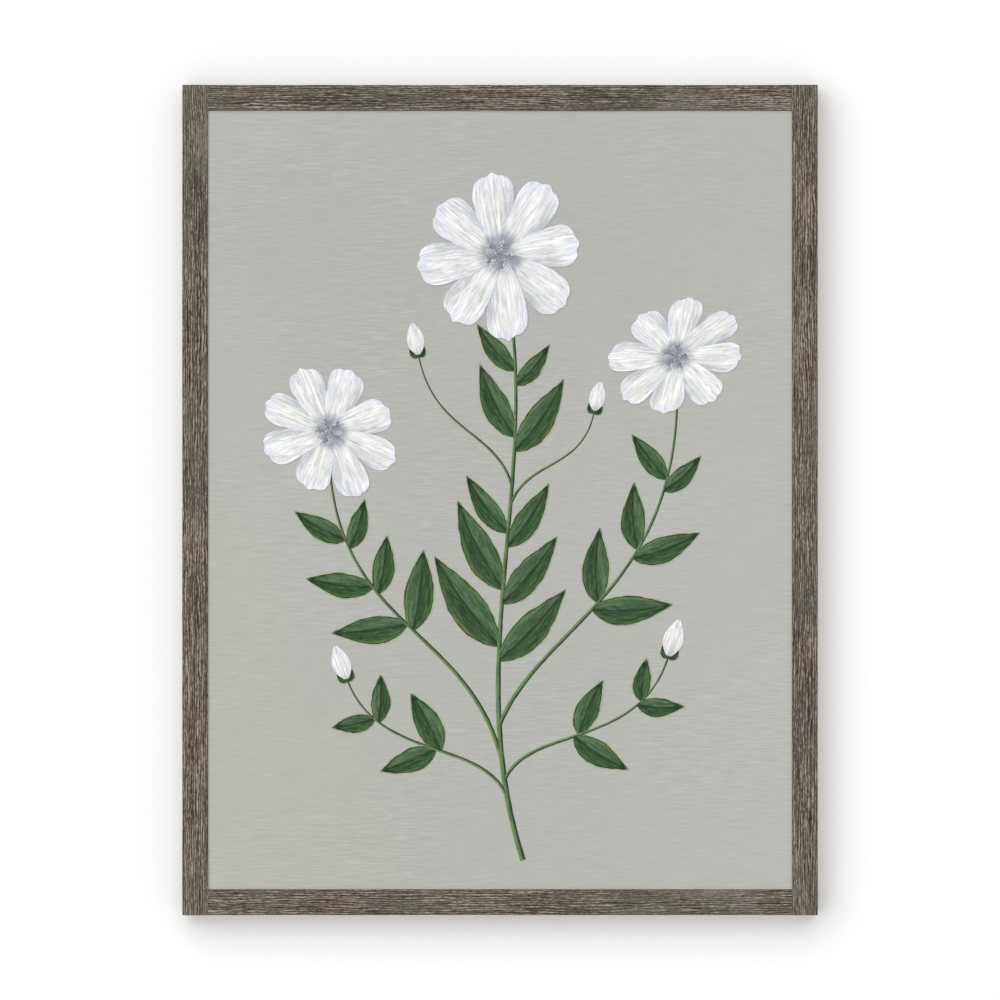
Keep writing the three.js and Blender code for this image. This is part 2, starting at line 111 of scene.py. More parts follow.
def grid_quads(rows, columns, ring=False):
    """Faces of a grid of points numbered row by row. A ring joins its last column to its first."""
    i, j = np.meshgrid(np.arange(rows - 1), np.arange(columns - (not ring)), indexing="ij")
    here, j = i.ravel() * columns, j.ravel()
    below, k = here + columns, (j + 1) % columns
    return np.stack([here + j, below + j, below + k, here + k], axis=1)


def closed_shell(points, faces, marks):
    """A shell whose coincident points are merged, whose empty triangles are dropped, and whose
    faces are turned outwards where the volume inside them comes out negative."""
    spots = np.round(points, MERGE_DIGITS)
    _, first, number = np.unique(spots, axis=0, return_index=True, return_inverse=True)
    points, faces = points[first], number.ravel()[faces]
    marks = {name: values[first] for name, values in marks.items()}
    a, b, c = faces.T
    faces = faces[(a != b) & (b != c) & (c != a)]
    a, b, c = (points[faces[:, n]] for n in range(3))
    if np.einsum("ij,ij->", a, np.cross(b, c)) < 0:
        faces = faces[:, ::-1]
    return points, faces, marks


def film(x, z, rise, marks, ring=False):
    """A closed film of paint from a grid: its face stands `rise` in front of the board at (x, z),
    its back lies on the board, and a wall follows the rim. The columns of a ring run once round a
    point, so that only its last row is a rim."""
    top = place(x, LIP_Y - rise, z).reshape(-1, 3)
    base = place(x, LIP_Y + SINK, z).reshape(-1, 3)
    n = len(top)
    quads = grid_quads(*x.shape)
    at = np.arange(n).reshape(x.shape)
    sides = [at[-1, :-1]] if ring else [at[:-1, 0], at[-1, :-1], at[:0:-1, -1], at[0, :0:-1]]
    rim = np.concatenate(sides)
    ahead = np.roll(rim, -1)
    wall = np.stack([ahead, rim, n + rim, n + ahead], axis=1)
    faces = np.concatenate([halves(quads), halves(n + quads[:, ::-1]), halves(wall)])
    twice = {name: np.tile(values.reshape(n, -1), (2, 1)) for name, values in marks.items()}
    return closed_shell(np.concatenate([top, base]), faces, twice)


def turned(profile, steps, centre):
    """A solid of revolution: radius r and height h of `profile`, carried round `steps` steps.
    Its axis runs along +Y from `centre`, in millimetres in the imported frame."""
    radius, height = np.array(profile, float).T[:, :, None]
    turn = np.linspace(0, 2 * np.pi, steps, endpoint=False)[None, :]
    x, z = radius * np.cos(turn), radius * np.sin(turn)
    points = np.stack(np.broadcast_arrays(x, height, z), axis=-1).reshape(-1, 3)
    points = (points + np.array(centre)) * MM
    return closed_shell(points, halves(grid_quads(len(profile), steps, ring=True)), {})


def piece(name, shells, nodes, finish):
    """One mesh object from closed shells. It stands for the CAD nodes, rides on the root body,
    and carries its marks as point attributes, and `strokes` as a UV map in millimetres."""
    starts = np.cumsum([0] + [len(points) for points, _, _ in shells])
    points = np.concatenate([points for points, _, _ in shells])
    faces = np.concatenate([faces + start for (_, faces, _), start in zip(shells, starts)])
    mesh = bpy.data.meshes.new(name)
    mesh.vertices.add(len(points))
    mesh.vertices.foreach_set("co", points.astype(np.float32).ravel())
    mesh.loops.add(faces.size)
    mesh.loops.foreach_set("vertex_index", faces.astype(np.int32).ravel())
    mesh.polygons.add(len(faces))
    mesh.polygons.foreach_set("loop_start", np.arange(0, faces.size, 3, dtype=np.int32))
    mesh.update(calc_edges=True)
    for mark in shells[0][2]:
        values = np.concatenate([marks[mark] for _, _, marks in shells]).astype(np.float32)
        if mark == "strokes":
            layer = mesh.uv_layers.new(name=mark)
            layer.data.foreach_set("uv", values[faces.ravel()].ravel())
        else:
            layer = mesh.attributes.new(mark, "FLOAT", "POINT")
            layer.data.foreach_set("value", values.ravel())
    mesh.validate()
    mesh.shade_smooth()
    mesh.set_sharp_from_angle(angle=SHARP)
    mesh.materials.append(finish)
    made = bpy.data.objects.new(name, mesh)
    scene.collection.objects.link(made)
    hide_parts(*nodes)
    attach(made, "root")


# ------------------------------------------------ node helpers
class Graph:
    """Short words for adding nodes to one tree."""

    def __init__(self, tree):
        self.tree = tree

    def add(self, kind, inputs=(), **settings):
        """A node with its settings, and its inputs in order or by name, each a value or a
        socket."""
        made = self.tree.nodes.new(kind)
        for name, value in settings.items():
            setattr(made, name, value)
        named = inputs if isinstance(inputs, dict) else dict(enumerate(inputs))
        for name, value in named.items():
            self.feed(made.inputs[name], value)
        return made

    def feed(self, socket, value):
        """A link from a socket, or a plain value."""
        if isinstance(value, bpy.types.NodeSocket):
            self.tree.links.new(value, socket)
        elif socket.type == "RGBA" and len(value) == 3:
            socket.default_value = (*value, 1.0)
        else:
            socket.default_value = value

    def maths(self, operation, *values):
        return self.add("ShaderNodeMath", values, operation=operation).outputs[0]

    def times(self, first, second):
        return self.maths("MULTIPLY", first, second)

    def total(self, *parts, clamp=False):
        """The sum of values, each times its weight."""
        made = 0.0
        for value, weight in parts:
            made = self.maths("MULTIPLY_ADD", value, weight, made)
        made.node.use_clamp = clamp
        return made

    def sway(self, value, noise, by, clamp=False):
        """A value moved up and down by a noise about its middle."""
        made = self.maths("MULTIPLY_ADD", self.maths("SUBTRACT", noise, 0.5), by, value)
        made.node.use_clamp = clamp
        return made

    def wave(self, distance, pace):
        """The sine of a distance times a number."""
        return self.maths("SINE", self.times(distance, pace))

    def vector_maths(self, operation, *values):
        return self.add("ShaderNodeVectorMath", values, operation=operation).outputs[0]

    def vector(self, *parts):
        return self.add("ShaderNodeCombineXYZ", parts).outputs[0]

    def parts(self, vector):
        return self.add("ShaderNodeSeparateXYZ", [vector]).outputs

    def blend(self, share, first, second):
        """A colour between two colours."""
        inputs = {0: share, 6: first, 7: second}
        return self.add("ShaderNodeMix", inputs, data_type="RGBA").outputs[2]

    def between(self, value, low, high, to_low=0.0, to_high=1.0):
        """A smooth step of a value between two limits."""
        inputs = (value, low, high, to_low, to_high)
        made = self.add("ShaderNodeMapRange", inputs, interpolation_type="SMOOTHSTEP")
        return made.outputs[0]

    def lay(self, colour, tint, value, low, high, most=1.0):
        """A tint laid over a colour: none of it where the value is `low`, `most` at `high`."""
        return self.blend(self.between(value, low, high, 0.0, most), colour, tint)

    def roughness(self, noise, smooth, rough):
        return self.between(noise, 0.2, 0.8, smooth, rough)

    def hills(self, vector, scale, detail=3.0, roughness=0.55):
        inputs = {"Vector": vector, "Scale": scale, "Detail": detail, "Roughness": roughness}
        return self.add("ShaderNodeTexNoise", inputs).outputs[0]

    def marks(self, *names):
        """Point attributes of the piece."""
        return [self.add("ShaderNodeAttribute", attribute_name=n).outputs["Fac"] for n in names]

    def here(self, turn=(0.0, 0.0, 0.0)):
        """Object coordinates, turned so that the grain runs along their Z."""
        seat = self.add("ShaderNodeTexCoord").outputs["Object"]
        if not any(turn):
            return seat
        inputs = {"Vector": seat, "Rotation": [math.radians(t) for t in turn]}
        return self.add("ShaderNodeMapping", inputs).outputs[0]

    def streaks(self, vector, across, along, drift=0.0, seed=0.0):
        """Streaks along Z: how many to a metre across and along, and their drift in metres."""
        inputs = {"Across": across, "Along": along, "Drift": drift, "Seed": seed}
        return self.grouped(STREAKS, vector, inputs)

    def patches(self, vector, size, seed=0.0):
        return self.grouped(PATCHES, vector, {"Size": size, "Seed": seed})["Patch"]

    def specks(self, vector, size, share):
        return self.grouped(SPECKS, vector, {"Size": size, "Share": share})

    def grouped(self, group, vector, inputs):
        """A node group placed with its own values."""
        made = self.add("ShaderNodeGroup", node_tree=group)
        for name, value in {"Vector": vector, **inputs}.items():
            self.feed(made.inputs[name], value)
        return made.outputs

    def strokes(self, across, along, drift, seed=0.0):
        """Bristle lines that follow a stroke: streaks on the piece's own `strokes` map."""
        split = self.parts(self.add("ShaderNodeUVMap", uv_map="strokes").outputs[0])
        metres = self.vector_maths("MULTIPLY", self.vector(split[0], 0.0, split[1]), (MM, MM, MM))
        return self.streaks(metres, across, along, drift, seed)


class Finish(Graph):
    """A material in the making. Values that are the same all over sit on its shader."""

    def __init__(self, name, metal=0.0, specular=0.5):
        self.material = bpy.data.materials.new(name)
        self.material.use_nodes = True
        super().__init__(self.material.node_tree)
        self.shader = self.tree.nodes["Principled BSDF"]
        self.shader.inputs["Metallic"].default_value = metal
        self.shader.inputs["Specular IOR Level"].default_value = specular

    def done(self, colour, roughness, height, depth):
        """The material with its colour, roughness and bump; `depth` is the bump's full height in
        metres."""
        bump = self.add("ShaderNodeBump", {"Height": height, "Distance": depth, "Strength": 1.0})
        self.feed(self.shader.inputs["Base Color"], colour)
        self.feed(self.shader.inputs["Roughness"], roughness)
        self.feed(self.shader.inputs["Normal"], bump.outputs[0])
        return self.material


# ------------------------------------------------ effects that several materials use
def new_group(name, inputs, outputs):
    """An empty node group: a vector and numbers with their defaults go in, numbers come out."""
    tree = bpy.data.node_groups.new(name, "ShaderNodeTree")
    tree.interface.new_socket("Vector", in_out="INPUT", socket_type="NodeSocketVector")
    for title, default in inputs.items():
        socket = tree.interface.new_socket(title, in_out="INPUT", socket_type="NodeSocketFloat")
        socket.default_value = default
    for title in outputs:
        tree.interface.new_socket(title, in_out="OUTPUT", socket_type="NodeSocketFloat")
    graph = Graph(tree)
    return graph, graph.add("NodeGroupInput").outputs, graph.add("NodeGroupOutput").inputs


def stretched_streaks():
    """Streaks: noise on coordinates that are `Across` per metre sideways and `Along` per metre
    along Z, after a slow drift sideways by up to `Drift` metres. Strong ones and hair-fine ones."""
    inputs = {"Across": 900.0, "Along": 40.0, "Drift": 0.001, "Seed": 0.0}
    graph, given, out = new_group("stretched streaks", inputs, ["Strong", "Fine"])
    seed, across, drift = given["Seed"], given["Across"], given["Drift"]
    shifted = graph.vector_maths("ADD", given["Vector"], graph.vector(seed, seed, seed))
    wander = graph.hills(graph.vector_maths("MULTIPLY", shifted, (60.0, 60.0, 12.0)), 1.0, 2.0)
    aside = graph.times(graph.maths("SUBTRACT", wander, 0.5), drift)
    drifted = graph.vector_maths("ADD", shifted, graph.vector(aside, aside, 0.0))
    scale = graph.vector(across, across, given["Along"])
    run = graph.vector_maths("MULTIPLY", drifted, scale)
    graph.feed(out["Strong"], graph.hills(run, 1.0, 2.0))
    graph.feed(out["Fine"], graph.hills(run, 2.9, 3.0, 0.6))
    return graph.tree


def soft_patches():
    """Broad patches, 0 to 1: noise of cells `Size` metres wide, pulled apart to full contrast."""
    graph, given, out = new_group("soft patches", {"Size": 0.05, "Seed": 0.0}, ["Patch"])
    seed = graph.vector(given["Seed"], 0.0, given["Seed"])
    moved = graph.vector_maths("ADD", given["Vector"], seed)
    noise = graph.hills(moved, graph.maths("DIVIDE", 1.0, given["Size"]))
    graph.feed(out["Patch"], graph.between(noise, 0.32, 0.68))
    return graph.tree


def fine_specks():
    """Specks, 0 to 1: the middles of random cells `Size` metres wide, as dust, pits or pores."""
    inputs = {"Size": 0.001, "Share": 0.3}
    graph, given, out = new_group("fine specks", inputs, ["Specks", "Cell"])
    scale = graph.maths("DIVIDE", 1.0, given["Size"])
    cells = graph.add("ShaderNodeTexVoronoi", {"Vector": given["Vector"], "Scale": scale})
    graph.feed(out["Specks"], graph.between(cells.outputs["Distance"], given["Share"], 0.0))
    graph.feed(out["Cell"], cells.outputs["Color"])
    return graph.tree


STREAKS, PATCHES, SPECKS = stretched_streaks(), soft_patches(), fine_specks()
ALONG_X = (0.0, 90.0, 0.0)  # turns Object coordinates so that X becomes the grain's direction
RINGS, FLUTES = 2900.0, 1050.0  # growth rings and the board's flutes, in radians to a metre


# ------------------------------------------------ finishes
def weathered_wood(name, turn):
    """Grey-brown wire-brushed wood: painted shade in the grooves and a painted highlight on the
    ridges beside them, olive-grey patches where the grain is fainter, paler and darker stretches
    of board, raw sawn wood where the back and the rebate were never stained, and growth rings
    across the sawn ends: sines of the distance from a pith behind the frame."""
    graph = Finish(name, specular=0.25)
    here = graph.here(turn)
    groove, patina, shade, raw, end = graph.marks("groove", "patina", "shade", "raw", "end")
    grain = graph.streaks(here, 900.0, 90.0, 0.002)
    hair = graph.streaks(here, 2100.0, 180.0, 0.001, 3.1)
    tone = graph.total((grain["Strong"], 0.5), (hair["Strong"], 0.5))
    tone = graph.between(tone, 0.30, 0.70)
    warm = graph.blend(tone, (0.113, 0.084, 0.0635), (0.150, 0.1145, 0.089))
    olive = graph.blend(tone, (0.096, 0.0885, 0.067), (0.129, 0.119, 0.0935))
    patches = graph.patches(here, 0.045, 1.7)
    aged = graph.total((patina, 0.75), (patches, 0.35), clamp=True)
    colour = graph.blend(aged, warm, olive)
    colour = graph.lay(colour, (0.190, 0.172, 0.150), shade, 0.0, 1.0, 0.75)
    colour = graph.lay(colour, (0.060, 0.052, 0.042), shade, 0.0, -1.0, 0.75)
    flecks = graph.streaks(here, 1350.0, 340.0, seed=6.3)
    groove = graph.sway(groove, flecks["Strong"], 3.2)
    groove = graph.times(groove, graph.between(aged, 0.0, 1.0, 1.12, 0.78))
    # Painted shade in the grooves and a painted highlight on the ridges beside them, from the
    # groove mark.
    colour = graph.lay(colour, (0.0365, 0.0273, 0.0178), groove, 0.0, 1.05)
    colour = graph.lay(colour, (0.340, 0.2965, 0.260), groove, -0.05, -1.15)
    sawn = graph.blend(tone, (0.310, 0.222, 0.138), (0.520, 0.405, 0.282))
    sawn = graph.lay(sawn, (0.120, 0.075, 0.042), hair["Fine"], 0.42, 0.28, 0.8)
    colour = graph.blend(raw, colour, sawn)
    flat = graph.vector_maths("MULTIPLY", here, (1.0, 1.0, 0.0))
    pith = (0.03, 0.05, 0.0)
    from_pith = graph.add("ShaderNodeVectorMath", (flat, pith), operation="DISTANCE")
    rings = graph.between(graph.wave(from_pith.outputs["Value"], RINGS), -0.7, 0.9)
    pores = graph.specks(here, 0.0010, 0.45)["Specks"]
    across = graph.blend(rings, (0.056, 0.046, 0.037), (0.118, 0.099, 0.080))
    across = graph.blend(graph.times(pores, 0.7), across, (0.020, 0.016, 0.012))
    colour = graph.blend(end, colour, across)
    rough = graph.between(groove, -1.0, 1.0, 0.72, 0.95)
    height = graph.total((grain["Fine"], 1.0), (hair["Fine"], 0.5))
    return graph.done(colour, rough, height, 0.00015)


def beech():
    """Pale dowel wood with short dark flecks along the grain."""
    graph = Finish("beech")
    here = graph.here(ALONG_X)
    grain = graph.streaks(here, 1400.0, 90.0, 0.0005)
    flecks = graph.streaks(here, 2600.0, 700.0, seed=5.0)
    colour = graph.blend(grain["Strong"], (0.50, 0.33, 0.17), (0.63, 0.44, 0.25))
    colour = graph.lay(colour, (0.33, 0.19, 0.09), flecks["Strong"], 0.6, 0.72, 0.5)
    rough = graph.roughness(grain["Fine"], 0.6, 0.8)
    return graph.done(colour, rough, grain["Fine"], 0.00008)


def painted_ground():
    """Plain grey ground, laid on in long strokes from side to side: hair-fine bristle lines a
    little lighter and darker, stronger in some places than in others, and broad patches between
    warm and violet grey. It grows lighter towards the lower right, warmer to the lower left and
    darker towards the upright line through the middle."""
    graph = Finish("painted ground", specular=0.3)
    here = graph.here(ALONG_X)
    wide = graph.streaks(here, 420.0, 26.0, 0.002)
    bristle = graph.streaks(here, 1000.0, 46.0, 0.0008, 2.0)
    warmth = graph.patches(here, 0.11)
    clouds = graph.patches(here, 0.17, 5.0)
    colour = graph.blend(warmth, (0.414, 0.411, 0.395), (0.407, 0.416, 0.376))
    colour = graph.blend(graph.times(clouds, 0.6), colour, (0.455, 0.455, 0.425))
    x, _, z = graph.parts(graph.here())
    low_right, low_left = graph.maths("SUBTRACT", x, z), graph.maths("ADD", x, z)
    from_middle = graph.maths("ABSOLUTE", x)
    colour = graph.lay(colour, (0.466, 0.467, 0.440), low_right, -0.3, 0.85, 0.55)
    colour = graph.lay(colour, (0.440, 0.436, 0.380), low_left, -0.25, -0.95, 0.8)
    colour = graph.lay(colour, (0.396, 0.396, 0.376), from_middle, 0.22, 0.04, 0.35)
    lines = graph.total((wide["Fine"], 0.5), (bristle["Strong"], 0.5))
    pressed = graph.between(graph.patches(here, 0.14, 8.0), 0.0, 1.0, 0.8, 1.9)
    lines = graph.sway(0.5, lines, pressed)
    colour = graph.lay(colour, (0.500, 0.500, 0.468), lines, 0.48, 0.72, 0.64)
    colour = graph.lay(colour, (0.380, 0.378, 0.356), lines, 0.52, 0.28, 0.64)
    rough = graph.roughness(bristle["Fine"], 0.5, 0.72)
    return graph.done(colour, rough, bristle["Fine"], 0.00010)


def white_paint():
    """Petals: cream-white middles, bluish-white rims, lighter and darker bristle lines with a
    painted highlight on the crests of the paint and painted shade in its furrows, and a grey-blue
    smudge that the brush has dragged out of the middle of the flower."""
    graph = Finish("white paint", specular=0.4)
    rim, shade, smudge, crest = graph.marks("rim", "shade", "smudge", "crest")
    lines = graph.strokes(420.0, 26.0, 0.004)
    hair = graph.strokes(850.0, 45.0, 0.003, 4.0)
    body = graph.between(lines["Strong"], 0.28, 0.72)
    colour = graph.blend(body, (0.655, 0.662, 0.620), (0.885, 0.885, 0.858))
    edge = graph.between(lines["Fine"], 0.28, 0.72)
    edge = graph.blend(edge, (0.610, 0.640, 0.730), (0.850, 0.865, 0.915))
    colour = graph.blend(rim, colour, edge)
    # Bristle lines, with a painted highlight on the crests of the paint and painted shade in its
    # furrows.
    bright = graph.total((hair["Strong"], 1.0), (crest, 0.16))
    colour = graph.lay(colour, (0.960, 0.965, 0.960), bright, 0.50, 0.68, 0.9)
    grey = graph.total((hair["Fine"], 1.0), (crest, 0.10), (shade, -0.12))
    colour = graph.lay(colour, (0.430, 0.455, 0.465), grey, 0.47, 0.33, 0.75)
    colour = graph.blend(graph.times(shade, 0.50), colour, (0.440, 0.465, 0.495))
    dragged = graph.sway(smudge, lines["Fine"], 1.1)
    colour = graph.lay(colour, (0.290, 0.315, 0.360), dragged, 0.30, 0.95)
    rough = graph.roughness(hair["Fine"], 0.42, 0.62)
    height = graph.total((hair["Fine"], 1.0), (lines["Fine"], 0.7))
    return graph.done(colour, rough, height, 0.00030)


def leaf_paint():
    """Leaves: one half deep green, the other lighter and greyer, pale and dark bristle lines, a
    dark midrib, a broken dark outline, and a pale rim where the first thin coat still shows.
    `edge` is the distance from the rim in millimetres."""
    graph = Finish("leaf paint", specular=0.12)
    edge, lit, rib, gold = graph.marks("edge", "lit", "rib", "gold")
    lines = graph.strokes(400.0, 40.0, 0.004)
    hair = graph.strokes(820.0, 90.0, 0.002, 4.0)
    here = graph.here()
    body = graph.between(lines["Strong"], 0.30, 0.70)
    dark = graph.blend(body, (0.014, 0.040, 0.014), (0.044, 0.100, 0.036))
    light = graph.blend(body, (0.050, 0.106, 0.050), (0.140, 0.212, 0.132))
    colour = graph.blend(graph.sway(lit, hair["Strong"], 1.0, clamp=True), dark, light)
    worked = graph.patches(here, 0.009, 2.2)
    colour = graph.blend(graph.times(worked, 0.35), colour, (0.032, 0.092, 0.026))
    colour = graph.lay(colour, (0.145, 0.228, 0.130), hair["Strong"], 0.55, 0.74, 0.75)
    colour = graph.lay(colour, (0.014, 0.034, 0.012), hair["Fine"], 0.48, 0.32, 0.9)
    colour = graph.blend(rib, colour, (0.012, 0.028, 0.013))
    patch = graph.patches(here, 0.012)
    thin = graph.times(gold, graph.between(patch, 0.0, 1.0, 0.45, 1.0))
    colour = graph.blend(thin, colour, (0.185, 0.285, 0.090))
    ragged = graph.sway(edge, hair["Strong"], 1.6)
    line = graph.between(ragged, 1.75, 1.25, 0.0, 0.85)
    line = graph.times(graph.between(ragged, 0.55, 0.95), line)
    colour = graph.blend(line, colour, (0.012, 0.030, 0.011))
    bare = graph.between(patch, 0.0, 0.7, 0.35, 0.9)
    bare = graph.times(graph.between(ragged, 0.75, 0.30), bare)
    colour = graph.blend(bare, colour, (0.470, 0.530, 0.355))
    rough = graph.roughness(hair["Fine"], 0.42, 0.62)
    height = graph.total((hair["Fine"], 1.0), (lines["Fine"], 0.7))
    return graph.done(colour, rough, height, 0.00024)


def eye_paint():
    """The middles of the flowers: dabs between grey-blue and pale lilac-grey."""
    graph = Finish("eye paint", specular=0.4)
    tint = graph.marks("tint")[0]
    lines = graph.strokes(900.0, 160.0, 0.002)
    deep = graph.blend(lines["Strong"], (0.118, 0.135, 0.165), (0.225, 0.248, 0.290))
    pale = graph.blend(lines["Strong"], (0.430, 0.452, 0.500), (0.640, 0.660, 0.700))
    rough = graph.roughness(lines["Fine"], 0.42, 0.62)
    return graph.done(graph.blend(tint, deep, pale), rough, lines["Fine"], 0.00015)


def kraft_board():
    """Brown paper on the backing board: pale and dark fibres, a faint trace of the flutes."""
    graph = Finish("kraft board", specular=0.2)
    here = graph.here()
    fibres = graph.streaks(here, 900.0, 420.0, 0.01)
    cross = graph.streaks(graph.here(ALONG_X), 1300.0, 300.0, 0.01, 7.0)
    colour = graph.blend(graph.patches(here, 0.09), (0.340, 0.222, 0.122), (0.392, 0.262, 0.150))
    colour = graph.lay(colour, (0.52, 0.38, 0.24), fibres["Strong"], 0.58, 0.72, 0.5)
    colour = graph.lay(colour, (0.17, 0.10, 0.05), cross["Fine"], 0.62, 0.74, 0.6)
    flutes = graph.wave(graph.parts(here)[0], FLUTES)
    colour = graph.lay(colour, (0.22, 0.14, 0.075), flutes, -0.4, 1.0, 0.12)
    rough = graph.roughness(fibres["Fine"], 0.78, 0.92)
    height = graph.total((cross["Fine"], 1.0), (flutes, 0.35))
    return graph.done(colour, rough, height, 0.00009)


def plated(name, dull, bright, spangle, wear):
    """Plated sheet steel: crystals or rolling marks of the plating, fine scratches, dull stains."""
    graph = Finish(name, metal=1.0)
    here = graph.here()
    scratches = graph.streaks(here, 5200.0, 260.0, 0.004)
    stains = graph.patches(here, 0.006)
    stained = tuple(0.45 * c for c in dull)
    colour = graph.blend(graph.specks(here, spangle, 0.7)["Cell"], dull, bright)
    colour = graph.lay(colour, wear, scratches["Strong"], 0.60, 0.75, 0.5)
    colour = graph.blend(graph.times(stains, 0.35), colour, stained)
    rough = graph.total((graph.roughness(scratches["Fine"], 0.26, 0.42), 1.0), (stains, 0.16))
    return graph.done(colour, rough, scratches["Fine"], 0.00003)


def black_rubber():
    """Moulded rubber: a fine matt grain with grey dust caught in it."""
    graph = Finish("black rubber", specular=0.3)
    here = graph.here()
    pits = graph.specks(here, 0.0006, 0.5)["Specks"]
    dust = graph.patches(here, 0.004)
    colour = graph.blend(graph.times(dust, 0.6), (0.016, 0.016, 0.017), (0.050, 0.048, 0.045))
    return graph.done(colour, graph.between(dust, 0.0, 1.0, 0.62, 0.86), pits, 0.00004)


# ------------------------------------------------ the wooden frame
ROW = 1.06  # mm between rows of points along a board
LINE = 1.8  # mm from one fine line of the grain to the next
GROOVE = 0.12  # mm of depth of the brushed grooves, on average
ROUNDING = 5  # points round an eased corner


def moulding_outline():
    """The L-shaped section as a closed path of points: straight runs between eased corners.
    Each point has its place with eased and with square corners, its outward direction, its
    distance along the path, how strongly the wire brush worked there, and how raw it is."""
    # Corner, radius of its easing, steps of the run that follows, its brushing and its rawness.
    corners = [
        ((0.0, BACK_Y), 0.7, 42, 1.0, 0.0),
        ((0.0, FRONT_Y), 0.9, 54, 1.0, 0.0),
        ((FACE, FRONT_Y), 0.9, 3, 0.8, 0.0),
        ((FACE, LIP_Y), 0.0, 1, 0.0, 1.0),
        ((WEB, LIP_Y), 0.0, 8, 0.15, 1.0),
        ((WEB, BACK_Y), 0.5, 12, 0.35, 1.0),
    ]
    stretches = []
    for n, (corner, radius, steps, *work) in enumerate(corners):
        before, after = corners[n - 1], corners[(n + 1) % len(corners)]
        come, go = np.subtract(corner, before[0]), np.subtract(after[0], corner)
        come, go = come / np.linalg.norm(come), go / np.linalg.norm(go)
        out = np.array([[come[1], -come[0]], [go[1], -go[0]]])  # outwards, on the path's right
        share = np.linspace(0, 1, ROUNDING)[:, None] if radius else np.array([[0.5]])
        normal = out[0] * np.cos(share * np.pi / 2) + out[1] * np.sin(share * np.pi / 2)
        back, on = np.maximum(0, 1 - 2 * share), np.maximum(0, 2 * share - 1)
        rounded = corner + radius * (normal - out[0] - out[1])
        square = corner + radius * (go * on - come * back)
        stretches.append((rounded, square, normal, *np.linspace(before[3:], work, len(share)).T))
        start, end = corner + go * radius, after[0] - go * after[1]
        run = start + (end - start) * np.linspace(0, 1, steps + 1)[1:-1, None]
        worked = (np.full(len(run), w) for w in work)
        stretches.append((run, run, np.repeat(out[1:], len(run), axis=0), *worked))
    spots, *rest = (np.concatenate(column) for column in zip(*stretches))
    length = np.linalg.norm(np.diff(spots, axis=0, prepend=spots[:1]), axis=1).cumsum()
    return spots, length, *rest


def brushed_grain(seed, along, around):
    """Mark of wire-brushed grain, about -1 on a ridge to 1 in a groove. Fine lines are the cosine
    of the distance across, read along a line that drifts and slips sideways; noises stretched
    along the grain make them stronger and weaker, and add streaks, flecks and broad bands."""
    drift = layered_noise(seed, along, around, (1.5, 70.0, 9.0), (0.4, 14.0, 3.0), (0.1, 4.0, 1.4))
    line = around + drift
    slip = 0.55 * soft_noise(seed + 3, along, line, 12.0, 1.3)
    strength = 0.55 + 0.5 * soft_noise(seed + 4, along, line, 7.0, 1.0)
    streaks = layered_noise(
        seed + 5, along, line,
        (0.36, 2.6, 0.42), (0.22, 16.0, 0.5), (0.16, 40.0, 0.8), (0.20, 36.0, 3.0))
    return 1.25 * strength * np.cos(2 * np.pi * (line + slip) / LINE) + streaks


